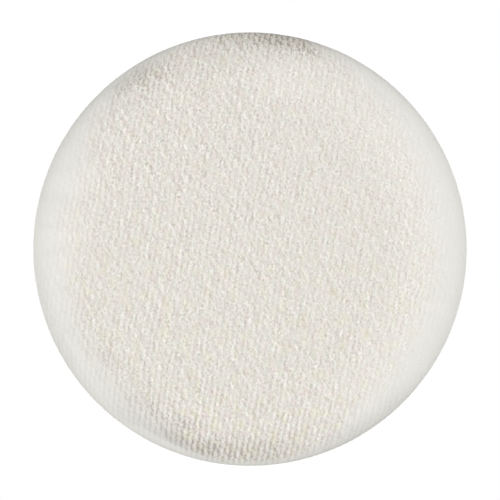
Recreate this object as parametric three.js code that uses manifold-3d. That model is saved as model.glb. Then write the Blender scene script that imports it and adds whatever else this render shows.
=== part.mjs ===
// Round velour powder puff: two pile covers sewn face to face and turned over a foam disc,
// with a satin finger band across the back. It lies on its back, face up.
// Millimetres, +Z out of the face, X along the finger band, origin on the table under the middle.

import * as THREE from 'three';
import { mergeGeometries, mergeVertices } from 'three/addons/utils/BufferGeometryUtils.js';
import Module from 'manifold-3d';

const wasm = await Module();
wasm.setup();

// Driving sizes
const PUFF_DIAMETER = 75; // across the widest circle, at the folds on both sides of the seam
const PUFF_THICKNESS = 14; // from the table to the middle of the face
const FACE_CROWN = 0.8; // rise of the middle of the face over its shoulder
const RIM_ROUND = 8.5; // distance from the edge at which the rounded rim begins
const SEAM_HEIGHT = 6.6; // height of the seam over the table
const FOLD_RADIUS = 2; // bend of each cover where it turns in to the seam
const COVER_THICKNESS = 1.8; // knitted ground with its pile
const ALLOWANCE_WIDTH = 5; // strip of each cover turned in behind the seam
const ALLOWANCE_THICKNESS = 1.4; // the same strip, pressed flat by the stitches
const BAND_WIDTH = 20; // finger band, across
const BAND_THICKNESS = 0.5; // finger band, double satin
const BAND_TUCK = 4.2; // length of each band end caught in the seam
const THREAD_DIAMETER = 0.4; // sewing thread
const NEEDLE_HOLE = 1.3; // hole that a stitch opens in the cloth
const SEAM_LINE = 1.2; // machine seam, behind the fold
const SEAM_STITCH = 4; // length of one machine stitch
const TACK_LINE = 0.9; // second row over each band end, from the end's raw edge
const TACK_STITCH = 3.2; // length of one stitch of that row
const TURNING_GAP = 30; // part of the seam left open for turning and filling
const CLOSING_STITCH = 3; // length of one hand stitch that closes it
const CLOSING_DEPTH = 0.9; // depth of the hand stitches' run under the fold's skin
const CLOSING_RUNG = 0.45; // depth of the stitches where they cross the seam
const CLOSING_SPREAD = 1.25; // height of that run over or under the seam
const CLEARANCE = 0.3; // gap between pieces that touch

// Facets
const ROUND_SEGMENTS = 48;
const CROWN_STEPS = 2;
const RIM_STEPS = 6;
const FOLD_STEPS = 3;
const STITCH_STEPS = 4;
const THREAD_SIDES = 5;
const HOLE_SIDES = 4;

// Derived sizes
const puffRadius = PUFF_DIAMETER / 2;
const shoulderRadius = puffRadius - RIM_ROUND;
const mouthRadius = puffRadius - FOLD_RADIUS;
const faceHeight = PUFF_THICKNESS - SEAM_HEIGHT;
const allowanceTip = mouthRadius - ALLOWANCE_WIDTH;
const bandTip = mouthRadius - BAND_TUCK;
const seamFace = CLEARANCE / 2;
const allowanceBack = seamFace + ALLOWANCE_THICKNESS;
const threadRadius = THREAD_DIAMETER / 2;
const stitchReach = allowanceBack + CLEARANCE + threadRadius;
const seamRadius = mouthRadius - SEAM_LINE;
const tackRadius = bandTip + TACK_LINE;
const waistHalf = stitchReach + threadRadius + CLEARANCE;
const bandBed = BAND_THICKNESS + CLEARANCE;
const closingAngle = Math.PI / 2;

// Half outlines, from the axis to the seam's mouth, as distance from the axis and height off the
// seam. The inset is the depth under the half's outer surface, so one outline gives every layer.

function crownOf(height, crown, inset) {
  const points = [];
  for (let step = 0; step < CROWN_STEPS; step += 1) {
    const share = step / CROWN_STEPS;
    points.push(new THREE.Vector2(shoulderRadius * share, height - inset - crown * share ** 2));
  }
  return points;
}

function rimOf(height, crown, inset) {
  const across = RIM_ROUND - inset;
  const rise = height - crown - FOLD_RADIUS - inset;
  const points = [];
  for (let step = 0; step <= RIM_STEPS; step += 1) {
    const turn = (Math.PI / 2) * (step / RIM_STEPS);
    const out = shoulderRadius + across * Math.sin(turn);
    points.push(new THREE.Vector2(out, FOLD_RADIUS + rise * Math.cos(turn)));
  }
  return points;
}

function foldOf(inset) {
  const across = FOLD_RADIUS - inset;
  const drop = FOLD_RADIUS - seamFace - inset;
  const points = [];
  for (let step = 1; step <= FOLD_STEPS; step += 1) {
    const turn = (Math.PI / 2) * (step / FOLD_STEPS);
    const out = mouthRadius + across * Math.cos(turn);
    points.push(new THREE.Vector2(out, FOLD_RADIUS - drop * Math.sin(turn)));
  }
  return points;
}

function outlineOf(height, crown, inset) {
  return [...crownOf(height, crown, inset), ...rimOf(height, crown, inset), ...foldOf(inset)];
}

// Solids

function solidOf(geometry) {
  const bare = new THREE.BufferGeometry();
  bare.setAttribute('position', geometry.getAttribute('position').clone());
  if (geometry.getIndex()) {
    bare.setIndex(geometry.getIndex().clone());
  }
  const joined = mergeVertices(bare, 1e-4);
  const places = joined.getAttribute('position').array;
  const index = joined.getIndex().array;
  const corners = [];
  let volume = 0;
  const a = new THREE.Vector3();
  const b = new THREE.Vector3();
  const c = new THREE.Vector3();
  for (let at = 0; at < index.length; at += 3) {
    const [i, j, k] = [index[at], index[at + 1], index[at + 2]];
    if (i === j || j === k || k === i) {
      continue;
    }
    a.fromArray(places, 3 * i);
    b.fromArray(places, 3 * j);
    c.fromArray(places, 3 * k);
    volume += a.dot(b.cross(c));
    corners.push(i, j, k);
  }
  if (volume < 0) {
    corners.reverse();
  }
  const mesh = new wasm.Mesh({
    numProp: 3,
    vertProperties: new Float32Array(places),
    triVerts: new Uint32Array(corners),
  });
  mesh.merge();
  return new wasm.Manifold(mesh);
}

function geometryOf(solid) {
  const mesh = solid.getMesh();
  const geometry = new THREE.BufferGeometry();
  geometry.setAttribute('position', new THREE.BufferAttribute(mesh.vertProperties, 3));
  geometry.setIndex(new THREE.BufferAttribute(mesh.triVerts, 1));
  geometry.computeVertexNormals();
  return geometry;
}

function turned(halfPoints, side) {
  const points = halfPoints.map((p) => new THREE.Vector2(p.x, SEAM_HEIGHT + side * p.y));
  const geometry = new THREE.LatheGeometry([...points, points[0].clone()], ROUND_SEGMENTS);
  geometry.rotateX(Math.PI / 2);
  return solidOf(geometry);
}

function boxOf(width, depth, height) {
  const geometry = new THREE.BoxGeometry(width, depth, height);
  geometry.translate(0, 0, SEAM_HEIGHT);
  return solidOf(geometry);
}

// Stitches

// A thread that passes from one side of the seam to the other at every half count. It advances
// round the puff while it lies on the cloth and hardly at all while it goes through, and it may
// swing outward where it crosses.
class StitchPath extends THREE.Curve {
  constructor(settings) {
    super();
    this.settings = settings;
  }

  getUtoTmapping(share) {
    return share;
  }

  getPoint(share, target = new THREE.Vector3()) {
    const { start, pitch, count, reach, inner, outer } = this.settings;
    const beat = share * count;
    const angle = start + pitch * (beat + (0.9 * Math.sin(2 * Math.PI * beat)) / (2 * Math.PI));
    const side = Math.tanh(2.2 * Math.cos(Math.PI * beat)) / Math.tanh(2.2);
    const swing = (1 - Math.cos(2 * Math.PI * beat)) / 2;
    const out = inner + (outer - inner) * swing;
    return target.set(out * Math.cos(angle), out * Math.sin(angle), SEAM_HEIGHT + reach * side);
  }
}

function rowOf(middle, arc, stitch, radius) {
  const count = Math.max(2, Math.round((arc - NEEDLE_HOLE) / stitch));
  const pitch = (arc - NEEDLE_HOLE) / count / radius;
  return { start: middle - (pitch * count) / 2, pitch, count, inner: radius, outer: radius };
}

function threadOf(row, thickness) {
  const section = new THREE.Shape();
  for (let side = 0; side < THREAD_SIDES; side += 1) {
    const turn = (2 * Math.PI * side) / THREAD_SIDES;
    const x = (thickness / 2) * Math.cos(turn);
    const y = (thickness / 2) * Math.sin(turn);
    if (side === 0) {
      section.moveTo(x, y);
    } else {
      section.lineTo(x, y);
    }
  }
  section.closePath();
  const extrudePath = new StitchPath(row);
  const steps = row.count * STITCH_STEPS;
  return solidOf(new THREE.ExtrudeGeometry(section, { steps, extrudePath, bevelEnabled: false }));
}

function holesOf(row) {
  const holes = [];
  for (let stitch = 0; stitch < row.count; stitch += 1) {
    const angle = row.start + row.pitch * (stitch + 0.5);
    const depth = 2 * (stitchReach + threadRadius);
    const hole = new THREE.CylinderGeometry(NEEDLE_HOLE / 2, NEEDLE_HOLE / 2, depth, HOLE_SIDES);
    hole.rotateX(Math.PI / 2);
    hole.translate(row.inner * Math.cos(angle), row.inner * Math.sin(angle), SEAM_HEIGHT);
    holes.push(hole);
  }
  return solidOf(mergeGeometries(holes));
}

const seamArc = 2 * Math.PI * seamRadius - TURNING_GAP;
const seamRow = {
  ...rowOf(closingAngle + Math.PI, seamArc, SEAM_STITCH, seamRadius),
  reach: stitchReach,
};
const tackRows = [0, Math.PI].map((middle) => ({
  ...rowOf(middle, BAND_WIDTH, TACK_STITCH, tackRadius),
  reach: stitchReach,
}));
const closingRow = {
  ...rowOf(closingAngle, TURNING_GAP, CLOSING_STITCH, puffRadius - CLOSING_DEPTH),
  reach: CLOSING_SPREAD,
  outer: puffRadius - CLOSING_RUNG,
};
const seamHoles = holesOf(seamRow);
const tackHoles = tackRows.map((row) => holesOf(row));
const closingTunnel = threadOf(closingRow, THREAD_DIAMETER + 2 * CLEARANCE);

// Covers: a crowned or flat disc with a rounded rim, folded in to a flat allowance at the seam

function coverOf(height, crown, side) {
  const skin = outlineOf(height, crown, 0);
  const lining = [
    ...crownOf(height, crown, COVER_THICKNESS),
    ...rimOf(height, crown, COVER_THICKNESS),
    new THREE.Vector2(puffRadius - COVER_THICKNESS, allowanceBack),
  ];
  const tip = [
    new THREE.Vector2(allowanceTip, seamFace),
    new THREE.Vector2(allowanceTip, allowanceBack),
  ];
  let cover = turned([...skin, ...tip, ...lining.reverse()], side);
  for (const cut of [seamHoles, ...tackHoles, closingTunnel]) {
    cover = cover.subtract(cut);
  }
  return cover;
}

// Finger band: a strip of the back's own surface, with both ends turned into the seam

function bandLayer(skinInset, innerInset, tip, width) {
  const skin = outlineOf(SEAM_HEIGHT, 0, skinInset);
  const inner = outlineOf(SEAM_HEIGHT, 0, innerInset);
  const ends = [
    new THREE.Vector2(tip, seamFace + skinInset),
    new THREE.Vector2(tip, seamFace + innerInset),
  ];
  const layer = turned([...skin, ...ends, ...inner.reverse()], -1);
  return layer.intersect(boxOf(2 * PUFF_DIAMETER, width, 4 * PUFF_THICKNESS));
}

function fingerBand() {
  let band = bandLayer(0, BAND_THICKNESS, bandTip, BAND_WIDTH);
  for (const cut of [seamHoles, ...tackHoles]) {
    band = band.subtract(cut);
  }
  return band;
}

function backCover() {
  const bed = bandLayer(-CLEARANCE, bandBed, bandTip - CLEARANCE, BAND_WIDTH + 2 * CLEARANCE);
  return coverOf(SEAM_HEIGHT, 0, -1).subtract(bed);
}

// Foam disc: fills both covers and has a waist that takes the seam allowances and stitches

function foamCore() {
  const inset = COVER_THICKNESS + CLEARANCE;
  const upper = [
    ...crownOf(faceHeight, FACE_CROWN, inset),
    ...rimOf(faceHeight, FACE_CROWN, inset),
  ];
  const lower = [...crownOf(SEAM_HEIGHT, 0, inset), ...rimOf(SEAM_HEIGHT, 0, inset)];
  const disc = turned([...upper, ...lower.map((p) => new THREE.Vector2(p.x, -p.y)).reverse()], 1);
  const waist = turned(
    [
      new THREE.Vector2(allowanceTip - CLEARANCE, waistHalf),
      new THREE.Vector2(PUFF_DIAMETER, waistHalf),
      new THREE.Vector2(PUFF_DIAMETER, -waistHalf),
      new THREE.Vector2(allowanceTip - CLEARANCE, -waistHalf),
    ],
    1,
  );
  return disc.subtract(waist);
}

// Materials, in the colours of the photographed puff
const velour = new THREE.MeshStandardMaterial({ color: 0xe2dfd6, roughness: 0.95, metalness: 0 });
const foam = new THREE.MeshStandardMaterial({ color: 0xf1ead2, roughness: 0.9, metalness: 0 });
const satin = new THREE.MeshStandardMaterial({ color: 0xe9e5da, roughness: 0.45, metalness: 0 });
const thread = new THREE.MeshStandardMaterial({ color: 0xe6e2d8, roughness: 0.7, metalness: 0 });

function piece(name, solid, material) {
  const mesh = new THREE.Mesh(geometryOf(solid), material);
  mesh.name = name;
  return mesh;
}

const puff = new THREE.Group();
puff.add(
  piece('face_cover', coverOf(faceHeight, FACE_CROWN, 1), velour),
  piece('back_cover', backCover(), velour),
  piece('foam_core', foamCore(), foam),
  piece('finger_band', fingerBand(), satin),
  piece('seam_thread', threadOf(seamRow, THREAD_DIAMETER), thread),
  piece('closing_thread', threadOf(closingRow, THREAD_DIAMETER), thread),
  piece('band_tack_right', threadOf(tackRows[0], THREAD_DIAMETER), thread),
  piece('band_tack_left', threadOf(tackRows[1], THREAD_DIAMETER), thread),
);

export default puff;
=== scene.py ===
import math
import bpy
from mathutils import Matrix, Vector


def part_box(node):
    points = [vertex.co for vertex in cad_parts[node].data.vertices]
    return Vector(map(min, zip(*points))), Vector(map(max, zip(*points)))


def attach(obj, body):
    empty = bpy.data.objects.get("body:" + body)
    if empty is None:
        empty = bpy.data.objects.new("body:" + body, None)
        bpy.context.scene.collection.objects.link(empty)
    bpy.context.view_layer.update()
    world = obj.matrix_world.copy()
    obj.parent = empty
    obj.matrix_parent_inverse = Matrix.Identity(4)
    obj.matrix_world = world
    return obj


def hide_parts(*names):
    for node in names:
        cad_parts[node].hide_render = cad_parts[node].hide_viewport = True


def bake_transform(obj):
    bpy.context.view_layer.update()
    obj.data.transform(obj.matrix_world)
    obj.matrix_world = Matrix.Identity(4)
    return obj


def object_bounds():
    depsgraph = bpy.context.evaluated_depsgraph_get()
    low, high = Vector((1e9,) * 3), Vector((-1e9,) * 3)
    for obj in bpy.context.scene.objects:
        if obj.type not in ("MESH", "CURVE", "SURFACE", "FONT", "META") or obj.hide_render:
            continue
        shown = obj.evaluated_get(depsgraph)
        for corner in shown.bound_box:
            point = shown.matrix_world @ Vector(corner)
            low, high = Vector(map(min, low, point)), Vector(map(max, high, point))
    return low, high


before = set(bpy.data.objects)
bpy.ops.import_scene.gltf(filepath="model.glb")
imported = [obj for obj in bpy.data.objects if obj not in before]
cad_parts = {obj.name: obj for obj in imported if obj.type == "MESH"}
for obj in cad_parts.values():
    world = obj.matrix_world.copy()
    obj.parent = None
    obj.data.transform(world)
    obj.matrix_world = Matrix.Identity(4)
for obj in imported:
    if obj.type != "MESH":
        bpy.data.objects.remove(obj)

from types import SimpleNamespace

import bpy
import numpy as np
from bpy.props import FloatProperty, FloatVectorProperty, IntProperty, PointerProperty
from bpy.types import Operator, Panel, PropertyGroup
from mathutils import Vector

bl_info = {
    "name": "Round Powder Puff",
    "version": (1, 0, 0),
    "blender": (4, 5, 0),
    "location": "3D View > Sidebar > Puff",
    "description": "Dresses the packed puff frame in velour, foam, satin and thread",
    "category": "Object",
}

CAD_BOX = [list(corner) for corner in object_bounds()]
FACE_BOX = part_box("face_cover")
MM = 0.001


# Settings that a user would change

def length(name, description, millimetres):
    """A length, with its default in millimetres."""
    return FloatProperty(name=name, description=description, unit="LENGTH",
                         default=millimetres * MM)


def colour(name, description, default):
    return FloatVectorProperty(name=name, description=description, subtype="COLOR",
                               default=default)


def amount(name, description, default):
    return FloatProperty(name=name, description=description, default=default)


class PuffSizes(PropertyGroup):
    """Sizes of the sewn puff, the same as in its solids."""

    diameter: length("Diameter", "Across the widest circle", (FACE_BOX[1][0] - FACE_BOX[0][0]) / MM)
    thickness: length("Thickness", "From the table to the middle of the face",
                      (CAD_BOX[1][2] - CAD_BOX[0][2]) / MM)
    seam_height: length("Seam height", "Height of the rim seam over the table", 6.6)
    crown: length("Face crown", "Fall of the face from its middle to its edge", 0.8)
    rim_round: length("Rim rounding", "Distance from the edge at which the rim begins to round", 8.5)
    fold: length("Fold radius", "Bend of each cover where it turns in to the seam", 2)
    cover: length("Cover thickness", "Knitted ground with its pile", 1.8)
    allowance_width: length("Seam allowance", "Strip of each cover turned in behind the seam", 5)
    allowance_thickness: length("Allowance thickness", "The same strip, pressed flat", 1.4)
    band_width: length("Band width", "Finger band, across", 20)
    band_thickness: length("Band thickness", "Finger band", 0.5)
    band_tuck: length("Band tuck", "Length of each band end caught in the seam", 4.2)
    thread: length("Thread", "Diameter of the sewing thread", 0.4)
    clearance: length("Clearance", "Gap between pieces that touch", 0.3)


class PuffPile(PropertyGroup):
    """The velour's wales and tufts."""

    wale: length("Wale pitch", "Distance from one row of pile to the next", 0.979)
    depth: length("Pile depth", "From the tips to the bottom of the channels", 0.17)
    cell_across: length("Cell across", "Mesh cell across the wales", 0.17)
    cell_along: length("Cell along", "Mesh cell along the wales", 0.27)
    seed: IntProperty(name="Seed", description="Start of every random draw", default=7)


class PuffColours(PropertyGroup):
    """Colours of the cloth, foam and thread."""

    tip: colour("Pile tips", "Colour of the fibre ends", (0.972, 0.952, 0.901))
    # Pile gaps: painted shade deep between the tufts
    gap: colour("Pile gaps", "Colour deep between the tufts", (0.59, 0.565, 0.505))
    # Parted pile: painted shade in the open gaps where the pile parts at the far rim
    deep: colour("Parted pile", "Root of the pile where it parts at the far rim", (0.40, 0.365, 0.31))
    # Near gaps: painted shade in the gaps along the near rim
    shade: colour("Near gaps", "Root of the pile along the near rim", (0.42, 0.395, 0.375))
    blush: colour("Blush", "Faint warm cast in patches", (1.0, 0.937, 0.96))
    straw: colour("Straw", "Faint yellow cast in patches", (1.0, 1.0, 0.905))
    # Brushed rim: the even colour of the closed pile along the sides, painted lighter where the side
    # lights fall on it
    rim: colour("Brushed rim", "Closed pile along the sides", (0.856, 0.858, 0.815))
    satin: colour("Satin", "Colour of the finger band", (0.81, 0.78, 0.70))
    foam: colour("Foam", "Colour of the pad inside", (0.88, 0.82, 0.64))
    thread: colour("Thread", "Colour of the sewing thread", (0.79, 0.76, 0.69))


class PuffStudio(PropertyGroup):
    """Light and camera."""

    right: amount("Right light", "Power of the soft box at the right", 0.628)
    left: amount("Left light", "Power of the soft box at the left", 0.575)
    far: amount("Far light", "Power of the weak soft box at the far edge", 0.03)
    near: amount("Near light", "Power of the low fill at the near left", 0.14)
    ambient: amount("Ambient", "Strength of the even light all round", 0.12)
    lens: amount("Lens", "Focal length of the camera in millimetres", 120)
    frame_width: length("Frame width", "Width of the picture at the puff's rim", 86.3)


def sizes():
    """The puff's sizes in millimetres, by name."""
    group = bpy.context.scene.puff_sizes
    return SimpleNamespace(**{name: getattr(group, name) / MM for name in PuffSizes.__annotations__})


# Random draws and smooth noise

def lattice(i, j, seed):
    """A fixed random number from -1 to 1 for each lattice point."""
    mixed = (i * 374761393 + j * 668265263 + seed * 974634077) & 0xFFFFFFFF
    mixed = ((mixed ^ (mixed >> 13)) * 1274126177) & 0xFFFFFFFF
    mixed = mixed ^ (mixed >> 16)
    return (mixed & 0xFFFF) / 32767.5 - 1


def noise(x, y, seed):
    """Smooth noise from -1 to 1 with features one unit across."""
    i = np.floor(x).astype(np.int64)
    j = np.floor(y).astype(np.int64)
    fx = x - i
    fy = y - j
    fx = fx * fx * fx * (fx * (fx * 6 - 15) + 10)
    fy = fy * fy * fy * (fy * (fy * 6 - 15) + 10)
    low = lattice(i, j, seed) * (1 - fx) + lattice(i + 1, j, seed) * fx
    high = lattice(i, j + 1, seed) * (1 - fx) + lattice(i + 1, j + 1, seed) * fx
    return low * (1 - fy) + high * fy


def smooth(low, high, value):
    """0 below low, 1 above high and an even S between them."""
    share = np.clip((value - low) / (high - low), 0, 1)
    return share * share * (3 - 2 * share)


# Points, outlines and objects

def around(out, angle, level):
    """Points at distances from the axis, angles and levels."""
    return np.stack(np.broadcast_arrays(out * np.cos(angle), out * np.sin(angle), level), axis=1)


def add_object(name, data):
    obj = bpy.data.objects.new(name, data)
    bpy.context.scene.collection.objects.link(obj)
    return obj


# Points along the flat, the rim and the fold of an outline
OUTLINE_POINTS = (90, 160, 60)


class Outline:
    """Half a puff in section, from the axis over the rim to the seam's mouth: the face for side 1,
    the back for -1. Height is measured off the seam, and inset is the depth under the surface. Gap
    is the distance between the two halves at the mouth."""

    def __init__(self, size, side, inset, gap=None):
        gap = size.clearance if gap is None else gap
        flat_count, rim_count, fold_count = OUTLINE_POINTS
        height = size.seam_height if side < 0 else size.thickness - size.seam_height
        crown = 0 if side < 0 else size.crown
        radius = size.diameter / 2
        shoulder = radius - size.rim_round
        mouth = radius - size.fold
        flat = np.linspace(0, shoulder, flat_count)
        turn = np.linspace(0, math.pi / 2, rim_count)[1:]
        out = shoulder + (size.rim_round - inset) * np.sin(turn)
        top = height - inset
        edge_crown = crown * ((radius - inset) / radius) ** 2
        rise = top - edge_crown - size.fold
        rim = top - crown * (out / radius) ** 2 - rise * (1 - np.cos(turn))
        bend = np.linspace(0, math.pi / 2, fold_count)[1:]
        fold_out = mouth + (size.fold - inset) * np.cos(bend)
        drop = size.fold - gap / 2 - inset
        fold = size.fold - drop * np.sin(bend)
        self.out = np.concatenate([flat, out, fold_out])
        self.up = np.concatenate([top - crown * (flat / radius) ** 2, rim, fold])
        steps = np.hypot(np.diff(self.out), np.diff(self.up))
        self.along = np.concatenate([[0], np.cumsum(steps)])
        self.length = self.along[-1]
        run_out = np.gradient(self.out, self.along)
        run_up = np.gradient(self.up, self.along)
        scale = np.hypot(run_out, run_up)
        self.normal_out = -run_up / scale
        self.normal_up = run_out / scale

    def at(self, along):
        """Distance from the axis, height, and the outward normal, at a length along the cloth."""
        columns = (self.out, self.up, self.normal_out, self.normal_up)
        return [np.interp(along, self.along, column) for column in columns]


# Cloth simulation of the two covers, sewn at the rim and filled

# Its grid, its scale in metres to the millimetre, its depth under the outline, the radius that the table
# holds, its frames and the furthest that a point may move
SWELL = SimpleNamespace(
    rows=28, stitch_cells=4, stitches=48, scale=0.02, inset=0.5, table=26, frames=20, cap=1.0)
CLOTH = {"quality": 6, "mass": 0.3, "tension_stiffness": 15, "compression_stiffness": 15,
         "shear_stiffness": 5, "bending_stiffness": 0.5, "use_pressure": True,
         "uniform_pressure_force": 4.0, "vertex_group_mass": "held"}


def sewn_grid(side, rows, cells):
    """Point numbers of one cover in rings, from its middle to the seam that both covers share."""
    half_count = 1 + (rows - 1) * cells
    start = 0 if side > 0 else half_count
    grid = np.empty((rows + 1, cells), dtype=int)
    grid[0] = start
    grid[1:rows] = start + 1 + np.arange((rows - 1) * cells).reshape(rows - 1, cells)
    grid[rows] = 2 * half_count + np.arange(cells)
    return grid


def sewn_faces(side, grid):
    """Faces of one cover: triangles round its middle, then quads."""
    faces = []
    for row, (ring, outer) in enumerate(zip(grid[:-1], grid[1:])):
        corners = np.stack([ring, outer, np.roll(outer, -1), np.roll(ring, -1)], axis=1)
        faces.extend(corners[:, :3 if row == 0 else 4].tolist())
    return faces if side > 0 else [face[::-1] for face in faces]


def swell_covers(size):
    """Blows up the sewn covers a little. Returns, for face and back, how far each point of a
    polar grid moved out and up, in millimetres."""
    rows = SWELL.rows
    cells = SWELL.stitch_cells * SWELL.stitches
    angle = 2 * math.pi * np.arange(cells) / cells
    halves = {side: Outline(size, side, SWELL.inset) for side in (1, -1)}
    points = []
    held = []
    for side, half in halves.items():
        for row in range(rows):
            out, up, _, _ = half.at(half.length * row / rows)
            ring = around(out, angle if row else angle[:1], side * up)
            points.append(ring)
            held.extend([side < 0 and out < SWELL.table] * len(ring))
    points.append(around(size.diameter / 2 - size.fold, angle, 0))
    held.extend([cell % SWELL.stitch_cells == 0 for cell in range(cells)])
    points = np.concatenate(points)
    grids = {side: sewn_grid(side, rows, cells) for side in halves}
    faces = [face for side, grid in grids.items() for face in sewn_faces(side, grid)]
    mesh = bpy.data.meshes.new("sewn_covers")
    mesh.from_pydata((points * SWELL.scale).tolist(), [], faces)
    obj = add_object("sewn_covers", mesh)
    obj.vertex_groups.new(name="held").add(np.flatnonzero(held).tolist(), 1.0, "REPLACE")
    cloth = obj.modifiers.new("swell", "CLOTH")
    for name, value in CLOTH.items():
        setattr(cloth.settings, name, value)
    cloth.settings.effector_weights.gravity = 0
    cloth.collision_settings.use_collision = False
    cloth.point_cache.frame_start = 1
    cloth.point_cache.frame_end = SWELL.frames
    scene = bpy.context.scene
    for frame_number in range(1, SWELL.frames + 1):
        scene.frame_set(frame_number)
    settled = obj.evaluated_get(bpy.context.evaluated_depsgraph_get())
    after = np.empty(3 * len(points))
    settled.data.vertices.foreach_get("co", after)
    moved = after.reshape(-1, 3) / SWELL.scale - points
    bpy.data.objects.remove(obj)
    bpy.data.meshes.remove(mesh)
    scene.frame_set(1)
    distance = np.linalg.norm(moved, axis=1, keepdims=True)
    moved *= np.minimum(1, SWELL.cap / np.maximum(distance, 1e-9))
    fields = {}
    for side, grid in grids.items():
        shift = moved[grid]
        outward = shift[..., 0] * np.cos(angle) + shift[..., 1] * np.sin(angle)
        fields[side] = np.stack([outward, side * shift[..., 2]], axis=2)
    return fields


def cubic_weights(share):
    """Weights of four neighbours for a smooth curve through them."""
    a = share
    return [(-a + 2 * a ** 2 - a ** 3) / 2, (2 - 5 * a ** 2 + 3 * a ** 3) / 2,
            (a + 4 * a ** 2 - 3 * a ** 3) / 2, (a ** 3 - a ** 2) / 2]


def field_at(field, row, angle):
    """The simulated movement at any row and angle, by smooth interpolation."""
    rows, cells = field.shape[0] - 1, field.shape[1]
    row = np.clip(row, 0, rows)
    cell = (angle / (2 * math.pi) * cells) % cells
    i = np.minimum(np.floor(row).astype(int), rows - 1)
    j = np.floor(cell).astype(int)
    across = cubic_weights(row - i)
    sideways = cubic_weights(cell - j)
    total = np.zeros(row.shape + (2,))
    for a in range(4):
        ring = np.clip(i + a - 1, 0, rows)
        for b in range(4):
            weight = across[a] * sideways[b]
            total += weight[..., None] * field[ring, (j + b - 1) % cells]
    return total


# Meshes

def mesh_object(name, points, loops):
    """A smooth object from points in millimetres and lists of faces, each a (count, corners)
    array of point numbers."""
    mesh = bpy.data.meshes.new(name)
    mesh.vertices.add(len(points))
    mesh.vertices.foreach_set("co", (points * MM).astype(np.float32).ravel())
    corners = np.concatenate([part.ravel() for part in loops])
    counts = np.concatenate([np.full(len(part), part.shape[1]) for part in loops])
    starts = np.concatenate([[0], np.cumsum(counts)[:-1]])
    mesh.loops.add(len(corners))
    mesh.loops.foreach_set("vertex_index", corners.astype(np.int32))
    mesh.polygons.add(len(counts))
    mesh.polygons.foreach_set("loop_start", starts.astype(np.int32))
    mesh.update(calc_edges=True)
    mesh.validate()
    mesh.polygons.foreach_set("use_smooth", np.ones(len(counts), dtype=bool))
    return add_object(name, mesh)


def add_map(mesh, values):
    """The cloth's UV map, in metres, from one pair of millimetres per point."""
    corners = np.empty(len(mesh.loops), dtype=np.int32)
    mesh.loops.foreach_get("vertex_index", corners)
    layer = mesh.uv_layers.new(name="cloth")
    layer.data.foreach_set("uv", (values * MM)[corners].astype(np.float32).ravel())


def add_attribute(mesh, name, values):
    """A number for each point, which the material can read."""
    layer = mesh.attributes.new(name, "FLOAT", "POINT")
    layer.data.foreach_set("value", values.astype(np.float32))


def grid_faces(grid):
    """Quads of a grid of point numbers."""
    return np.stack([grid[:-1, :-1], grid[1:, :-1], grid[1:, 1:], grid[:-1, 1:]],
                    axis=2).reshape(-1, 4)


def disc_grid(across, along):
    """A grid of cells on the unit disc. Returns distance and angle of each point, the cells, and
    the points on the edge in order."""
    a, b = np.meshgrid(np.linspace(-1, 1, across + 1), np.linspace(-1, 1, along + 1))
    a, b = a.ravel(), b.ravel()
    wide = np.abs(a) > np.abs(b)
    major = np.where(wide, a, b)
    minor = np.where(wide, b, a)
    safe = np.where(major == 0, 1, major)
    quarter = math.pi / 4 * minor / safe
    angle = np.where(wide, quarter, math.pi / 2 - quarter)
    angle = np.where(major < 0, angle + math.pi, angle)
    number = np.arange((across + 1) * (along + 1)).reshape(along + 1, across + 1)
    edge = np.concatenate([number[0, :-1], number[:-1, -1], number[-1, :0:-1], number[:0:-1, 0]])
    return np.abs(major), angle % (2 * math.pi), grid_faces(number)[:, [0, 3, 2, 1]], edge


# Velour, with lengths in millimetres on the flat cloth

# How far the wales lean, and how the slanting wave of staggered tufts runs across and along
WALE_LEAN = 0.167
TUFT_RUN = (0.682, 0.379)

# Strength of the wale wave and of the slanting wave, and where the first grows and the second wanes
WALES = 0.375
SLANT = 0.22
NEAR_WALES = (-14, -32)
EAST_TUFTS = (2, 20)
EAST_LOSS = 0.55

# Waves that the two make together: turns of the one and of the other that go into each, its strength
# and its start in radians
KNIT = ((0, 2, 0.115, -0.23), (-1, 2, 0.14, -2.58), (1, -1, 0.08, 0.54), (2, 0, 0.048, -2.11),
        (1, 1, 0.04, -2.46))

# Share of the pile's depth that lies below the surface it grows on, its depth where the band presses
# it down, and the gap at the seam's mouth
BELOW = 0.6
PRESSED = 0.12
MOUTH_GAP = 0.04

# Distances from the axis over which a cover is fitted to its circle, the lining's rings with the place
# of the last, and the back's mesh cells as shares of the face's
FIT = (14, 30)
LINING = SimpleNamespace(rings=9, last=2.0)
BACK_CELLS = (1.4, 1.25)


def knit_turns(u, v, pile):
    """Turns of the wale wave and of the slanting wave at a place on the flat cloth. The wales lie a
    little aslant and drift slowly, and the tufts in them are staggered from wale to wale."""
    drift = 0.22 * noise(u / 14, v / 17, pile.seed) + 0.05 * noise(u / 3, v / 4, pile.seed + 1)
    wale = (u - WALE_LEAN * v) * MM / pile.wale + drift
    slant = (TUFT_RUN[0] * u + TUFT_RUN[1] * v) * MM / pile.wale + 0.8 * drift
    return wale, slant


def knit_sum(wave, wale, slant, wales, slants):
    """All waves of the knit together, for strengths of the main two. Wave gives the cosine of a
    number of turns and a start."""
    total = wales * wave(wale) + slants * wave(slant)
    for wale_share, slant_share, strength, start in KNIT:
        total = total + strength * wave(wale_share * wale + slant_share * slant, start)
    return total


def cosine(turns, start=0.0):
    return np.cos(2 * math.pi * turns + start)


def pile_height(u, v, pile):
    """Height of the pile from 0 to 1 at a place on the flat cloth."""
    wale, slant = knit_turns(u, v, pile)
    wales = WALES * (1 + 0.5 * smooth(*NEAR_WALES, v))
    slants = SLANT * (1 - EAST_LOSS * smooth(*EAST_TUFTS, u))
    knit = knit_sum(cosine, wale, slant, wales, slants)
    loose = noise((u - 0.1 * v) / 0.5, v / 0.75, pile.seed + 3)
    return np.clip(0.5 + 0.45 * knit + 0.25 * loose, 0, 1)


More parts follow.
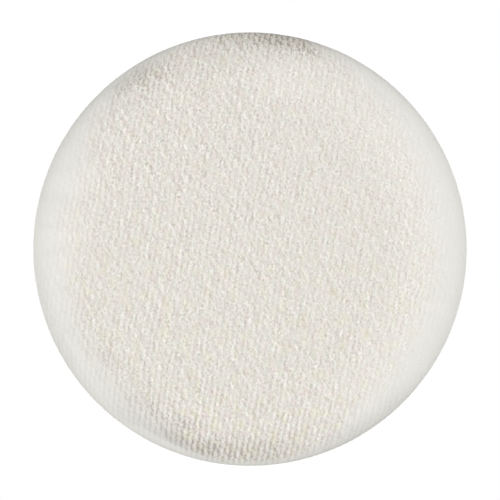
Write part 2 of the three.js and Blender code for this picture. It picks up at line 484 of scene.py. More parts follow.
# Zones of the rim where light and shade are painted: the direction of each one's middle, in degrees from
# the right, and its reach to each side
RIM_ZONES = {"far": (98, 66), "near": (271, 48), "corner": (222, 50), "front": (256, 52),
             "upper": (132, 42), "over": (92, 62)}

# Spots of painted shade where the pile parts more: strength, direction, reach, and where each one
# starts, is full, wanes and ends along the cloth from its middle
SHADE_SPOTS = ((0.75, 80, 12, 34, 36.5, 60, 61), (0.6, 126, 9, 33.5, 35, 36.6, 38),
                (0.7, 252, 14, 33, 34.5, 35.9, 36.9))


def rim_state(along, angle, pile):
    """How far the pile lies closed, is painted paler with rim light, shows stronger painted shade in its
    gaps and parts, at a length along the cloth from the middle. It parts with painted shade where the
    wales bend over the rim end-on, at the far and near rim, and lies closed along the sides, where a
    lighter rim colour is painted for the side lights."""
    east, north = np.cos(angle), np.sin(angle)
    degrees = np.degrees(angle)
    turn = degrees + 6 * noise(5 * east, 5 * north, pile.seed + 8)

    def about(middle, reach, full=0):
        return smooth(reach, full, np.abs(turn - middle))

    def spot(middle, reach):
        return smooth(reach, 3, np.abs(degrees - middle))

    def ring(start, full, wane, end):
        return smooth(start, full, along) * smooth(end, wane, along)

    far, near, corner, front, upper, over = [about(*zone) for zone in RIM_ZONES.values()]
    begin = 28.3 + 9.3 * over ** 0.8 + 8.4 * near + 0.6 * noise(7 * east, 7 * north, pile.seed + 10)
    begin = begin + 0.5 * np.maximum(east, 0) + 1.3 * about(143, 18, 4) - 0.9 * about(238, 20, 4)
    # Where the pile lies closed; the material paints it the lighter, even rim colour that stands for the
    # side lights
    closed = smooth(begin, begin + 7.3 - 1.2 * east - 2.3 * over - 4.8 * near - 1.5 * upper, along)
    # Painted rim light: the pile paler towards the rim, less so at the far and near rim and in the upper
    # left, more in a spot by the far rim
    worn = smooth(22.5 - 1.5 * east + 6 * corner, 33.5 - 0.7 * east + 2 * corner, along)
    worn = worn * (1 - np.maximum(far, near)) * (1 - 0.5 * upper)
    worn = worn + 0.5 * spot(79, 18) * ring(24, 28, 32, 34.5)
    # Stronger painted shade in the pile's gaps at the near and far rim and in the upper left
    stronger_gap_shade = 0.35 * smooth(0.05, 0.7, near) + 0.08 * smooth(0.05, 0.7, far)
    stronger_gap_shade = stronger_gap_shade * smooth(20, 33, along) + 0.2 * upper * ring(12, 24, 32, 36)
    # Painted shade where the pile parts: along the far rim, the near rim and in spots
    at_far = smooth(33 - 3 * upper, 37.5 - 3 * upper, along) * smooth(0.3, 0.95, far)
    at_far = at_far * (1 - 0.55 * upper * smooth(35.5, 38, along)) * (1 - 0.85 * spot(106, 15))
    pale = spot(244, 10)
    at_front = 0.68 * smooth(0.25, 0.8, front) * ring(31, 35, 36.4 - pale, 38 - pale)
    parted = np.maximum(at_far, at_front)
    for strength, middle, reach, *stretch in SHADE_SPOTS:
        parted = parted + strength * spot(middle, reach) * ring(*stretch)
    # Patches of more painted shade along the near half of the rim
    low = 0.38 * np.maximum(about(302, 30, 5), 0.8 * about(210, 28, 5)) * smooth(34, 36.5, along)
    corner_shade = 0.28 * smooth(0.3, 0.9, corner) * ring(27, 31, 33, 37)
    patch = 0.74 * about(243, 24, 5) * ring(29.5, 32.5, 35, 37.5)
    for more in (low, corner_shade, patch):
        parted = np.maximum(parted, more)
    return closed, worn, stronger_gap_shade, parted


def fitted(out, up, angle, radius, top):
    """Fits a swollen cover back to the sewn circle, and its middle to its height."""
    bins = ((angle / (2 * math.pi)) * 360).astype(int) % 360
    reach = np.zeros(360)
    np.maximum.at(reach, bins, out)
    reach = np.mean([np.roll(reach, k) for k in range(-4, 5)], axis=0)
    swollen = np.interp(angle, np.radians(np.arange(-1, 362) + 0.5),
                        np.concatenate([reach[-1:], reach, reach[:2]]))
    out = out * (1 + (radius / swollen - 1) * smooth(*FIT, out))
    return out, np.where(up > 0, up * (top / up.max()), up)


def lining_rings(size, side):
    """Distance from the axis and height off the seam of each ring of a cover's lining, from the tip
    of the seam allowance inward, and the height of its middle."""
    lining = Outline(size, side, size.cover)
    radius = size.diameter / 2
    tip = radius - size.fold - size.allowance_width
    face = size.clearance / 2
    back = face + size.allowance_thickness
    bend_end = np.searchsorted(lining.up[::-1], size.fold)
    rim_along = lining.along[::-1][bend_end]
    rings = [(tip, face), (tip, back), (radius - size.cover, back)]
    stops = np.linspace(rim_along, LINING.last, LINING.rings)
    return rings + [lining.at(along)[:2] for along in stops], lining.up[0]


def cover_object(name, side, field, size, pile, cells):
    """One velour cover: the pile side on a fine grid, and a plain lining that closes it."""
    seam_height = size.seam_height
    depth = pile.depth / MM
    inset = (1 - BELOW) * depth
    width = 2 * Outline(size, side, SWELL.inset).length
    skin = Outline(size, side, inset, MOUTH_GAP)
    share, angle, quads, edge = disc_grid(round(width / cells[0]), round(width / cells[1]))
    along = share * skin.length
    out, up, normal_out, normal_up = skin.at(along)
    moved = field_at(field, share * SWELL.rows, angle)
    out, up = fitted(out + moved[:, 0], up + moved[:, 1], angle, size.diameter / 2 - inset,
                     skin.up[0])
    u, v = along * np.cos(angle), along * np.sin(angle)
    grown = pile_height(u, v, pile)
    # Where the pile lies closed and parts, with the painted rim light and the painted shade at the rim
    closed, worn, stronger_gap_shade, parted = rim_state(along, angle, pile)
    if side > 0:
        closed = closed * (1 - 0.7 * smooth(37.5, 40.5, along))
        parted = parted * smooth(41, 38.5, along)
    else:
        closed, worn, stronger_gap_shade, parted = 0.3 * closed, 0.4 * worn, 0 * stronger_gap_shade, 0 * parted
    calm = smooth(2, 20, u) * smooth(-20, 0, v) * smooth(29, 23, along)
    calm = calm + 0.8 * smooth(-14, -22, u) * smooth(14, 9, np.abs(v))
    # Contrast of the painted shade in the pile's gaps
    contrast = (1 - 0.45 * closed) * (1 - 0.22 * worn) * (1 + stronger_gap_shade) * (1 - 0.13 * calm)
    relief = (1 - 0.85 * closed) * (1 - 0.75 * smooth(0.3, 0.9, normal_out))
    # The pile thins out where the cloth turns in to the seam
    seam = smooth(skin.length - 0.5, skin.length - 2.6, along)
    lift = depth * (grown - BELOW) * relief * (0.25 + 0.75 * seam)
    out = out + normal_out * lift
    up = up + normal_up * lift
    if side < 0:
        # Flat where it lies on the table, and pressed down under the finger band
        up = np.minimum(up, seam_height)
        half = size.band_width / 2
        under = smooth(half + 0.4, half - 0.2, np.abs(out * np.sin(angle)))
        under = under * smooth(-2, 2, np.abs(out * np.cos(angle)))
        bed = Outline(size, side, size.band_thickness + size.clearance + 0.1)
        bed_out, bed_up, _, _ = bed.at(share * bed.length)
        pressed = PRESSED * (grown - 0.5)
        out = out + (bed_out + pressed * normal_out - out) * under
        up = up + (bed_up + pressed * normal_up - up) * under
    points = [around(out, angle, seam_height + side * up)]
    loops = [quads if side > 0 else quads[:, ::-1]]
    maps = [np.stack([u, v], axis=1)]
    # The lining, in rings that start at the edge of the grid, closed by a fan
    ring = edge
    total = len(share)
    rings, middle = lining_rings(size, side)
    for step, (ring_out, ring_up) in enumerate(rings):
        points.append(around(ring_out, angle[edge], seam_height + side * ring_up))
        maps.append(around(skin.length + 0.8 + 0.25 * step, angle[edge], 0)[:, :2])
        fresh = total + np.arange(len(edge))
        total += len(edge)
        strip = np.stack([ring, np.roll(ring, -1), np.roll(fresh, -1), fresh], axis=1)
        loops.append(strip[:, ::-1] if side > 0 else strip)
        ring = fresh
    points.append(np.array([[0, 0, seam_height + side * middle]]))
    maps.append(np.zeros((1, 2)))
    fan = np.stack([ring, np.roll(ring, -1), np.full(len(ring), total)], axis=1)
    loops.append(fan[:, ::-1] if side > 0 else fan)
    obj = mesh_object(name, np.concatenate(points), loops)
    flat = np.concatenate(maps)
    add_map(obj.data, flat)
    # For the material: contrast of the painted gap shade, the closed rim that takes the lighter rim
    # colour, the painted rim light, and painted shade where the pile parts
    for layer, values, plain in (("contrast", contrast, 1.0), ("brushed", closed, 0.0),
                                 ("worn", worn, 0.0), ("parted", parted, 0.0)):
        lining = np.full(len(flat) - len(values), plain)
        add_attribute(obj.data, layer, np.concatenate([values, lining]))
    for layer, turns in zip(("wale", "slant"), knit_turns(flat[:, 0], flat[:, 1], pile)):
        add_attribute(obj.data, layer, turns)
    return obj


# Node trees

class Value:
    """A node's output that takes part in Python sums."""

    def __init__(self, maker, socket):
        self.maker = maker
        self.socket = socket

    def __add__(self, other):
        return self.maker.math("ADD", self, other)

    __radd__ = __add__

    def __mul__(self, other):
        return self.maker.math("MULTIPLY", self, other)

    __rmul__ = __mul__

    def __sub__(self, other):
        return self.maker.math("SUBTRACT", self, other)

    def __rsub__(self, other):
        return self.maker.math("SUBTRACT", other, self)

    def __truediv__(self, other):
        return self.maker.math("DIVIDE", self, other)


class NodeMaker:
    """Adds nodes to a tree."""

    def __init__(self, tree):
        self.tree = tree

    def plug(self, socket, value):
        if isinstance(value, Value):
            self.tree.links.new(value.socket, socket)
        else:
            socket.default_value = value

    def node(self, kind, sockets=None, output=0, **settings):
        """A node of this kind, its settings first, then its sockets; returns one output."""
        made = self.tree.nodes.new(kind)
        for name, setting in settings.items():
            setattr(made, name, setting)
        for name, value in (sockets or {}).items():
            self.plug(made.inputs[name], value)
        return Value(self, made.outputs[output]) if made.outputs else made

    def math(self, operation, first, second):
        return self.node("ShaderNodeMath", {0: first, 1: second}, operation=operation)

    def mix(self, share, first, second, blend="MIX"):
        return self.node("ShaderNodeMix", {0: share, 6: first, 7: second}, 2,
                         data_type="RGBA", blend_type=blend)

    def ramp(self, value, low, high):
        """0 below low, 1 above high."""
        return self.node("ShaderNodeMapRange", {"Value": value, "From Min": low, "From Max": high},
                         interpolation_type="SMOOTHSTEP")

    def fade(self, value, ends):
        """The same between two lengths in millimetres."""
        return self.ramp(value, ends[0] * MM, ends[1] * MM)

    def wave(self, turns, start=0.0):
        return self.math("COSINE", turns * (2 * math.pi) + start, 0.0)

    def scaled(self, vector, scale):
        return self.node("ShaderNodeVectorMath", {0: vector, 1: scale}, operation="MULTIPLY")

    def shifted(self, vector, step):
        return self.node("ShaderNodeVectorMath", {0: vector, 1: step}, operation="ADD")

    def grain(self, vector, scale, detail=0.0):
        """Noise from 0 to 1 on a stretched vector."""
        return self.node("ShaderNodeTexNoise",
                         {"Vector": self.scaled(vector, scale), "Scale": 1.0, "Detail": detail,
                          "Roughness": 0.5})

    def fleck(self, vector, place, scale):
        """Noise about 0, from its own place in the pattern."""
        return self.grain(self.shifted(vector, (*place, 0)), scale) - 0.5

    def ridge(self, vector, place, step, scale):
        """Noise without slow drift: how it differs between a step ahead and a step behind."""
        ahead, behind = [self.grain(self.shifted(vector, (place[0] + k, place[1], 0)), scale)
                         for k in (step, -step)]
        return ahead - behind

    def dress(self, shader, tone, strength, distance, height):
        """Gives a shader its colour and a bump of this height."""
        bump = self.node("ShaderNodeBump",
                         {"Strength": strength, "Distance": distance, "Height": height})
        self.plug(shader.inputs["Base Color"], tone)
        self.plug(shader.inputs["Normal"], bump)


def surface(name, **constant):
    """A new material. Returns it, its node maker and its shader node."""
    material = bpy.data.materials.new(name)
    material.use_nodes = True
    shader = material.node_tree.nodes["Principled BSDF"]
    for socket, value in constant.items():
        shader.inputs[socket.replace("_", " ")].default_value = value
    return material, NodeMaker(material.node_tree), shader


def rgb(shade, share=1.0):
    """A colour for a socket, darkened to a share of itself."""
    return (*[share * c for c in shade], 1.0)


def velour_material(colours):
    """Cream pile, light at the tips and darker in the gaps by painted shade, after the knit and its
    loose tufts, with painted light and shade along the rim.
    """
    material, make, shader = surface("velour", Roughness=0.95, Sheen_Weight=0.1,
                                     Sheen_Roughness=0.5, Specular_IOR_Level=0.1)
    cloth = make.node("ShaderNodeUVMap", uv_map="cloth")
    wale, slant, contrast, brushed, worn, parted = [
        make.node("ShaderNodeAttribute", output=2, attribute_name=name)
        for name in ("wale", "slant", "contrast", "brushed", "worn", "parted")]
    east, north = [make.node("ShaderNodeSeparateXYZ", {0: cloth}, k) for k in (0, 1)]
    south = make.fade(north, (-22, -34))
    wales = WALES * (1 + 0.4 * make.fade(north, NEAR_WALES) + 0.3 * south)
    slants = SLANT * (1 - EAST_LOSS * make.fade(east, EAST_TUFTS))
    tone = knit_sum(make.wave, wale, slant, wales, slants)
    # Loose tufts: along the cloth, along the wales and across them, scaled per metre or per wale
    aslant = make.node("ShaderNodeVectorRotate", {"Vector": cloth, "Angle": -0.5},
                       rotation_type="Z_AXIS")
    rows = make.node("ShaderNodeCombineXYZ", {"X": wale, "Y": north})
    fine = make.ridge(cloth, (0, 0), 0.00017, (2350, 1420, 1))
    wide = make.ridge(aslant, (0.02, 0.03), 0.00035, (1000, 480, 1))
    cord = make.ridge(rows, (0, 0.02), 0.26, (1.5, 420, 1))
    dots = make.fleck(cloth, (0, 0), (3300, 2550, 1))
    uneven = 1 + 1.9 * make.fleck(cloth, (0.05, 0.01), (540, 760, 1))
    streak = make.fleck(cloth, (0.07, 0.02), (1500, 260, 1))
    slow = make.fleck(aslant, (0.03, 0.06), (600, 350, 1))
    fibre = make.grain(cloth, (24000, 8000, 1), 1.0) - 0.5
    # Streaks in the painted rim light on the left side
    west = make.fade(east, (-5, -25)) * worn
    loose = 1.7 * fine + 3.45 * dots + 1.05 * wide + 0.9 * cord
    texture = tone + uneven * (1 - 0.45 * west) * (1 - 0.3 * south) * loose
    texture = texture + west * (2.0 * streak + 0.4 * tone) + 0.75 * slow
    # Painted light and shade: share mixes the painted shade of the gaps with the tips, paler with the
    # painted rim light and darker with the painted shade where the pile parts
    share = 0.472 + 0.23 * contrast * texture + 0.24 * fibre + 0.18 * worn - 0.215 * parted
    cream = make.mix(share, rgb(colours.gap), rgb(colours.tip))
    # Painted shade in the gaps where the pile parts: grey along the near rim, brown along the far rim
    deep = parted * (1 - make.ramp(texture, -1.0, 0.1))
    rim_shade = make.mix(make.fade(north, (-10, 10)), rgb(colours.shade), rgb(colours.deep))
    cream = make.mix(0.7 * deep, cream, rim_shade)
    # Faint casts in patches, the yellow one weaker in the far half
    mirrored = make.scaled(cloth, (1, -1, 1))
    warm = make.ramp(make.grain(cloth, (700, 520, 1), 2.0), 0.45, 0.75)
    straw = make.ramp(make.grain(mirrored, (600, 450, 1), 2.0), 0.45, 0.75)
    straw = (0.9 - 0.4 * make.fade(north, (-8, 10))) * straw
    cream = make.mix(0.9 * warm * contrast, cream, rgb(colours.blush), "MULTIPLY")
    cream = make.mix(straw * contrast, cream, rgb(colours.straw), "MULTIPLY")
    # Painted shade over the lighter colour of the closed rim, where the pile parts
    rim = make.mix(0.4 * parted, rgb(colours.rim), rim_shade)
    # The closed pile along the sides takes the lighter rim colour: painted light
    make.dress(shader, make.mix(0.6 * brushed, cream, rim), 0.2, 0.0001,
               contrast * (fine + dots) + 0.4 * fibre)
    return material


def thread_material(colours):
    """Cotton, darker between its fibres: painted shade."""
    material, make, shader = surface("thread", Roughness=0.6, Sheen_Weight=0.2)
    place = make.node("ShaderNodeTexCoord", output="Object")
    twist = make.grain(place, (5000, 5000, 9000), 2.0)
    tone = make.mix(twist, rgb(colours.thread, 0.78), rgb(colours.thread))
    make.dress(shader, tone, 0.3, 0.00005, twist)
    return material


def foam_material(colours):
    """Foam with open pores, darker in their middles: painted shade in the pores."""
    material, make, shader = surface("foam", Roughness=0.9)
    place = make.node("ShaderNodeTexCoord", output="Object")
    cells = make.node("ShaderNodeTexVoronoi",
                      {"Vector": make.scaled(place, (1600, 1600, 1600)), "Scale": 1.0}, feature="F1")
    pores = make.ramp(cells, 0.15, 0.55)
    tone = make.mix(pores, rgb(colours.foam, 0.6), rgb(colours.foam))
    make.dress(shader, tone, 0.6, 0.0002, pores)
    return material


def satin_material(colours):
    """Satin with lengthwise yarns of uneven thickness and duller selvedges."""
    material, make, shader = surface("satin", Sheen_Weight=0.15, Specular_IOR_Level=0.5)
    cloth = make.node("ShaderNodeUVMap", uv_map="cloth")
    warp = make.grain(cloth, (400, 9000, 1), 1.0)
    weft = make.grain(cloth, (9000, 900, 1), 1.0)
    slub = make.ramp(make.grain(cloth, (70, 2400, 1), 2.0), 0.25, 0.75)
    weave = 0.4 * warp + 0.2 * weft + 0.4 * slub
    place = make.node("ShaderNodeSeparateXYZ", {0: cloth}, 1)
    selvedge = make.fade(make.math("ABSOLUTE", place, 0.0), (8.8, 9.1))
    tone = make.mix(weave - 0.35 * selvedge, rgb(colours.satin, 0.8), rgb(colours.satin))
    make.plug(shader.inputs["Roughness"], 0.28 + 0.25 * weave + 0.15 * selvedge)
    make.dress(shader, tone, 0.25, 0.00004, weave)
    return material


def settings():
    scene = bpy.context.scene
    return sizes(), scene.puff_pile, scene.puff_colours


def paint(obj, material):
    obj.data.materials.clear()
    obj.data.materials.append(material)


# Stitches, in millimetres, as in the solids
STITCHES = SimpleNamespace(
    hole=1.3, seam_line=1.2, seam=4.0, tack_line=0.9, tack=3.2, turning_gap=30.0, closing=3.0,
    closing_depth=0.9, closing_rung=0.45, closing_spread=1.25, lay=1.1, step=0.16)

# Points of a path to each stitch, how long it dwells at a hole and how squarely it crosses the seam
PATH = SimpleNamespace(points=28, dwell=0.9, square=2.2)

# Each ply of a thread: points round it, and its radius and offset as shares of the thread's diameter
PLY = SimpleNamespace(points=7, radius=0.29, offset=0.21)

# Points round the foam, and which of the outline's points it keeps
FOAM = SimpleNamespace(round=96, every=6)

# The band in millimetres: its stretch on the flat back, its selvedges, the depth of each face under the
# surface, its ripples and the bead along each edge; and its grid
BAND = SimpleNamespace(
    straight=18.0, selvedge=1.4, skin=0.06, ripple=0.05, ripples=16, ripples_across=3, bead=0.06,
    bead_in=0.75, bead_width=0.3, seed=31, flat_rows=31, turn_rows=90, columns=37,
    selvedge_columns=12)


# Operators, one for each piece or group of like pieces

class PUFF_OT_covers(Operator):
    """Sew, fill and grow the pile of the two velour covers"""

    bl_idname = "puff.covers"
    bl_label = "Velour Covers"

    def execute(self, context):
        size, pile, colours = settings()
        fields = swell_covers(size)
        velour = velour_material(colours)
        fine = (pile.cell_across / MM, pile.cell_along / MM)
        coarse = [share * cell for share, cell in zip(BACK_CELLS, fine)]
        for name, node, side, cells in (("velour_face", "face_cover", 1, fine),
                                        ("velour_back", "back_cover", -1, coarse)):
            cover = cover_object(name, side, fields[side], size, pile, cells)
            paint(cover, velour)
            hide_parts(node)
            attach(cover, "pad")
        return {"FINISHED"}


class PUFF_OT_foam(Operator):
    """Make the foam disc inside the covers"""

    bl_idname = "puff.foam"
    bl_label = "Foam Disc"

    def execute(self, context):
        size, _, colours = settings()
        inset = size.cover + size.clearance
        # A waist that leaves room for the allowances and the stitches
        waist = size.allowance_thickness + 2.5 * size.clearance + size.thread
        tip = size.diameter / 2 - size.fold - size.allowance_width - size.clearance
        section = []
        for side in (1, -1):
            shape = Outline(size, side, inset)
            keep = (shape.up > waist) & (shape.along > 0)
            line = np.stack([shape.out[keep], side * shape.up[keep]], axis=1)[::FOAM.every]
            last = shape.out[keep][-1]
            line = np.concatenate([line, [[last, side * waist], [tip, side * waist]]])
            section.append(line if side > 0 else line[::-1])
        section = np.concatenate(section)
        count = FOAM.round
        angle = 2 * math.pi * np.arange(count) / count
        rings = [around(out, angle, size.seam_height + up) for out, up in section]
        middles = [[0, 0, size.thickness - inset], [0, 0, inset]]
        points = np.concatenate([*rings, middles])
        grid = np.arange(len(section) * count).reshape(-1, count)
        grid = np.concatenate([grid, grid[:, :1]], axis=1)
        caps = [np.stack([np.full(count, len(points) - 2), grid[0, :-1], grid[0, 1:]], axis=1),
                np.stack([np.full(count, len(points) - 1), grid[-1, 1:], grid[-1, :-1]], axis=1)]
        foam = mesh_object("foam_disc", points, [grid_faces(grid), *caps])
        paint(foam, foam_material(colours))
        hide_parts("foam_core")
        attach(foam, "pad")
        return {"FINISHED"}


def band_layer(size, depth, across, reach):
    """One face of the band, from end to end, at this depth under the surface of the back. Height is
    measured off the seam, towards the table."""
    line = Outline(size, -1, depth)
    straight = BAND.straight
    level = np.full(len(across), size.seam_height - depth)
    rows = [np.stack([np.full(len(across), x), across, level], axis=1)
            for x in np.linspace(0, straight, BAND.flat_rows)[:-1]]
    start = np.hypot(straight, across)
    for share in np.linspace(0, 1, BAND.turn_rows):
        along = start + share * (reach - start)
        out, up, _, _ = line.at(np.minimum(along, line.length))
        out = out - np.maximum(along - line.length, 0)
        rows.append(np.stack([np.sqrt(out ** 2 - across ** 2), across, up], axis=1))
    right = np.array(rows)
    return np.concatenate([right[:0:-1] * (-1, 1, 1), right])


class PUFF_OT_band(Operator):
    """Lay the satin finger band across the back"""

    bl_idname = "puff.band"
    bl_label = "Finger Band"

    def execute(self, context):
        size, _, colours = settings()
        half = size.band_width / 2
        inner_edge = half - BAND.selvedge
        rib = np.linspace(inner_edge, half, BAND.selvedge_columns)
        middle = np.linspace(-inner_edge, inner_edge, BAND.columns)[1:-1]
        across = np.concatenate([-rib[::-1], middle, rib])
        reach = Outline(size, -1, 0).length + size.band_tuck
        layers = np.array([band_layer(size, depth, across, reach)
                           for depth in (BAND.skin, size.band_thickness - BAND.skin)])
        steps, columns = layers.shape[1:3]
        place = np.linspace(-1, 1, steps)[None, :, None]
        edge = (np.abs(across) / half)[None, None, :]
        wave = BAND.ripple * noise(place * BAND.ripples + 0 * edge,
                                   BAND.ripples_across * edge + 0 * place, BAND.seed)
        from_bead = (half * edge - half + BAND.bead_in) / BAND.bead_width
        wave = wave + BAND.bead * np.exp(-from_bead ** 2)
        layers[..., 2] = size.seam_height - np.minimum(layers[..., 2] + wave, size.seam_height)
        outer, inner = np.arange(2 * steps * columns).reshape(2, steps, columns)
        loops = [grid_faces(outer)[:, ::-1], grid_faces(inner),
                 grid_faces(np.stack([outer[:, 0], inner[:, 0]], axis=1)),
                 grid_faces(np.stack([inner[:, -1], outer[:, -1]], axis=1)),
                 grid_faces(np.stack([outer[0], inner[0]], axis=0)),
                 grid_faces(np.stack([inner[-1], outer[-1]], axis=0))]
        band = mesh_object("satin_band", layers.reshape(-1, 3), loops)
        lengthwise = np.repeat(np.linspace(-1, 1, steps) * reach, columns)
        maps = np.stack([lengthwise, np.tile(across, steps)], axis=1)
        add_map(band.data, np.concatenate([maps, maps]))
        paint(band, satin_material(colours))
        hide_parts("finger_band")
        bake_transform(band)
        return {"FINISHED"}


def stitch_path(level, middle, arc, stitch, inner, outer, reach):
    """Points of a sewing thread in millimetres, on an arc about a direction in degrees. It passes from
    one side of the seam to the other at every half count, and swings outward where it crosses."""
    run = arc - STITCHES.hole
    count = max(2, round(run / stitch))
    pitch = run / count / inner
    beat = np.linspace(0, count, PATH.points * count + 1)
    dwell = PATH.dwell * np.sin(2 * math.pi * beat) / (2 * math.pi)
    angle = math.radians(middle) + pitch * (beat - count / 2 + dwell)
    side = np.tanh(PATH.square * np.cos(math.pi * beat)) / math.tanh(PATH.square)
    out = inner + (outer - inner) * (1 - np.cos(2 * math.pi * beat)) / 2
    return around(out, angle, level + reach * side)


def thread_tree(material):
    """Nodes that turn a line of edges into a thread of two twisted plies."""
    tree = bpy.data.node_groups.new("twisted_thread", "GeometryNodeTree")
    face = tree.interface
    face.new_socket("Path", in_out="INPUT", socket_type="NodeSocketGeometry")
    for name in ("Thickness", "Lay", "Step"):
        face.new_socket(name, in_out="INPUT", socket_type="NodeSocketFloat")
    face.new_socket("Thread", in_out="OUTPUT", socket_type="NodeSocketGeometry")
    make = NodeMaker(tree)
    given = tree.nodes.new("NodeGroupInput")
    path, thickness, lay, step = [Value(make, given.outputs[k]) for k in range(4)]
    line = make.node("GeometryNodeMeshToCurve", {"Mesh": path})
    line = make.node("GeometryNodeResampleCurve", {"Curve": line, "Length": step}, mode="LENGTH")
    run = make.node("GeometryNodeSplineParameter", output=1)
    line = make.node("GeometryNodeSetCurveTilt", {"Curve": line, "Tilt": run * 2 * math.pi / lay})
    ring = make.node("GeometryNodeCurvePrimitiveCircle",
                     {"Resolution": PLY.points, "Radius": PLY.radius * thickness})
    plies = tree.nodes.new("GeometryNodeJoinGeometry")
    for side in (-PLY.offset, PLY.offset):
        offset = make.node("ShaderNodeCombineXYZ", {"X": side * thickness})
        ply = make.node("GeometryNodeTransform", {"Geometry": ring, "Translation": offset})
        make.plug(plies.inputs[0], ply)
    thread = make.node("GeometryNodeCurveToMesh",
                       {"Curve": line, "Profile Curve": Value(make, plies.outputs[0]),
                        "Fill Caps": True})
    for kind, more in (("RealizeInstances", {}), ("SetShadeSmooth", {}),
                       ("SetMaterial", {"Material": material})):
        thread = make.node("GeometryNode" + kind, {"Geometry": thread, **more})
    make.node("NodeGroupOutput", {"Thread": thread})
    return tree


class PUFF_OT_threads(Operator):
    """Twist the sewing threads along their stitches"""

    bl_idname = "puff.threads"
    bl_label = "Sewing Threads"

    def execute(self, context):
        size, _, colours = settings()
        tree = thread_tree(thread_material(colours))
        radius = size.diameter / 2
        mouth = radius - size.fold
        seam = mouth - STITCHES.seam_line
        tack = mouth - size.band_tuck + STITCHES.tack_line
        gap = STITCHES.turning_gap
        reach = size.allowance_thickness + 1.5 * size.clearance + size.thread / 2
        long_row = (2 * math.pi * seam - gap, STITCHES.seam, seam, seam, reach)
        closing = (gap, STITCHES.closing, radius - STITCHES.closing_depth,
                   radius - STITCHES.closing_rung, STITCHES.closing_spread)
        tacks = (size.band_width, STITCHES.tack, tack, tack, reach)
        for name, node, middle, row in (("seam_stitches", "seam_thread", 270, long_row),
                                        ("closing_stitches", "closing_thread", 90, closing),
                                        ("right_tack_stitches", "band_tack_right", 0, tacks),
                                        ("left_tack_stitches", "band_tack_left", 180, tacks)):
            points = stitch_path(size.seam_height, middle, *row) * MM
            line = bpy.data.meshes.new(name + "_path")
            line.from_pydata(points.tolist(), [(k, k + 1) for k in range(len(points) - 1)], [])
            guide = add_object(name + "_path", line)
            twist = guide.modifiers.new("twist", "NODES")
            twist.node_group = tree
            values = {"Thickness": size.thread * MM, "Lay": STITCHES.lay * MM,
                      "Step": STITCHES.step * MM}
            for socket in tree.interface.items_tree:
                if socket.name in values:
                    twist[socket.identifier] = values[socket.name]
            made = guide.evaluated_get(context.evaluated_depsgraph_get())
            mesh = bpy.data.meshes.new_from_object(made)
            guide.modifiers.remove(twist)
            bpy.data.objects.remove(guide)
            bpy.data.meshes.remove(line)
            thread = add_object(name, mesh)
            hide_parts(node)
            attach(thread, "pad")
        return {"FINISHED"}


# The stage in metres: half the floor's side, its drop under the puff, where its shadow fades out, and
# the way to the lights; and greys of the paper, of what the shadow falls on and of what shows through
STAGE = SimpleNamespace(
    half=2.5, drop=0.00005, shadow=(0.0365, 0.04), lights=0.6, aim=0.007, paper=0.7, shaded=0.75,
    through=0.55)

# The camera in millimetres: its sensor's width and its place off the axis
CAMERA = SimpleNamespace(sensor=36, aside=-0.16)

# Soft boxes: the direction and elevation of each in degrees, and its size
BOXES = {"right": (0, 50, (0.3, 0.3)), "left": (180, 50, (0.3, 0.3)), "far": (90, 30, (0.4, 0.2)),
         "near": (240, 4, (0.3, 0.08))}


def area_light(name, turn, height, box, power):
    """A soft box that faces the puff. A power of 1 lights a white sheet that faces it to white."""
    far = STAGE.lights
    lamp = bpy.data.lights.new(name, "AREA")
    lamp.shape = "RECTANGLE"
    lamp.size, lamp.size_y = box
    lamp.energy = power * (math.pi * far) ** 2
    turn, height = math.radians(turn), math.radians(height)
    aim = Vector((math.cos(turn) * math.cos(height), math.sin(turn) * math.cos(height),
                  math.sin(height)))
    obj = add_object(name, lamp)
    obj.location = far * aim + Vector((0, 0, STAGE.aim))
    obj.rotation_mode = "QUATERNION"
    obj.rotation_quaternion = aim.to_track_quat("Z", "Y")


def bare_tree(owner):
    """Empties the node tree of a new material or world. Returns its node maker, and light paths as
    a node and as 1 on rays that the camera sees straight, mirrored or through glass."""
    owner.use_nodes = True
    owner.node_tree.nodes.clear()
    make = NodeMaker(owner.node_tree)
    path = make.tree.nodes.new("ShaderNodeLightPath")
    camera, glossy, through = [Value(make, path.outputs["Is %s Ray" % kind])
                               for kind in ("Camera", "Glossy", "Transmission")]
    return make, path, make.math("MINIMUM", camera + glossy + through, 1.0)


def floor_material():
    """Grey paper for the light, unseen but for the puff's shadow. The lifted band shows through."""
    material = bpy.data.materials.new("floor")
    make, path, straight = bare_tree(material)
    place = make.node("ShaderNodeTexCoord", output="Object")
    from_middle = make.node("ShaderNodeVectorMath", {0: place}, 1, operation="LENGTH")
    far = make.ramp(from_middle, *STAGE.shadow)
    paper, shadow = [make.node("ShaderNodeBsdfDiffuse", {"Color": (grey, grey, grey, 1)})
                     for grey in (STAGE.paper, STAGE.shaded)]
    clear, tinted = [make.node("ShaderNodeBsdfTransparent", {"Color": (grey, grey, grey, 1)})
                     for grey in (1, STAGE.through)]
    near = make.node("ShaderNodeAddShader", {0: tinted, 1: shadow})
    seen = make.node("ShaderNodeMixShader", {0: far, 1: near, 2: clear})
    both = make.node("ShaderNodeMixShader", {0: straight, 1: paper, 2: seen})
    blocked = Value(make, path.outputs["Is Shadow Ray"])
    both = make.node("ShaderNodeMixShader", {0: blocked, 1: both, 2: clear})
    make.node("ShaderNodeOutputMaterial", {"Surface": both})
    return material


def sky(ambient):
    """A world that looks white and lights with the ambient strength alone."""
    world = bpy.data.worlds.new("studio")
    make, _, straight = bare_tree(world)
    light = make.node("ShaderNodeBackground",
                      {"Color": (1, 1, 1, 1), "Strength": ambient + (1 - ambient) * straight})
    make.node("ShaderNodeOutputWorld", {"Surface": light})
    return world


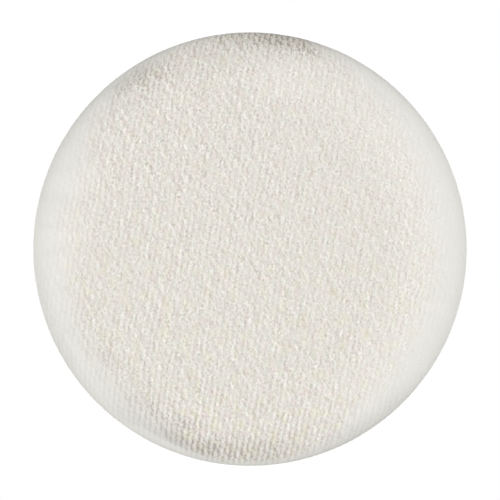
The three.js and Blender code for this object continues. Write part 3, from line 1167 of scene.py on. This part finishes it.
class PUFF_OT_stage(Operator):
    """Set the floor, soft light and camera"""

    bl_idname = "puff.stage"
    bl_label = "Stage"

    def execute(self, context):
        scene = context.scene
        studio = scene.puff_studio
        size = sizes()
        scene.view_settings.view_transform = "Standard"
        half = STAGE.half
        mesh = bpy.data.meshes.new("floor")
        mesh.from_pydata([(-half, -half, 0), (half, -half, 0), (half, half, 0), (-half, half, 0)],
                         [], [(0, 1, 2, 3)])
        floor = add_object("floor", mesh)
        floor.location.z = -STAGE.drop
        paint(floor, floor_material())
        scene.world = sky(studio.ambient)
        for name, place in BOXES.items():
            area_light(name + "_box", *place, getattr(studio, name))
        lens = bpy.data.cameras.new("camera")
        lens.lens = studio.lens
        lens.sensor_width = CAMERA.sensor
        lens.clip_start = 0.01
        camera = add_object("camera", lens)
        level = size.seam_height + size.fold
        far = studio.frame_width * studio.lens / lens.sensor_width
        camera.location = (0, CAMERA.aside * MM, level * MM + far)
        scene.camera = camera
        return {"FINISHED"}


STEPS = (PUFF_OT_covers, PUFF_OT_foam, PUFF_OT_band, PUFF_OT_threads, PUFF_OT_stage)


class PUFF_PT_panel(Panel):
    """Puff pieces and settings"""

    bl_idname = "PUFF_PT_panel"
    bl_label = "Powder Puff"
    bl_space_type = "VIEW_3D"
    bl_region_type = "UI"
    bl_category = "Puff"

    def draw(self, context):
        for step in STEPS:
            self.layout.operator(step.bl_idname)
        for name in GROUPS:
            group = getattr(context.scene, name)
            box = self.layout.box()
            for field in group.__annotations__:
                box.prop(group, field)


GROUPS = {"puff_sizes": PuffSizes, "puff_pile": PuffPile, "puff_colours": PuffColours,
          "puff_studio": PuffStudio}
CLASSES = (*GROUPS.values(), *STEPS, PUFF_PT_panel)


def register():
    for kind in CLASSES:
        bpy.utils.register_class(kind)
    for name, group in GROUPS.items():
        setattr(bpy.types.Scene, name, PointerProperty(type=group))


def unregister():
    for name in GROUPS:
        delattr(bpy.types.Scene, name)
    for kind in reversed(CLASSES):
        bpy.utils.unregister_class(kind)


def main():
    register()
    bpy.ops.puff.covers()
    bpy.ops.puff.foam()
    bpy.ops.puff.band()
    bpy.ops.puff.threads()
    bpy.ops.puff.stage()


if __name__ == "__main__":
    main()
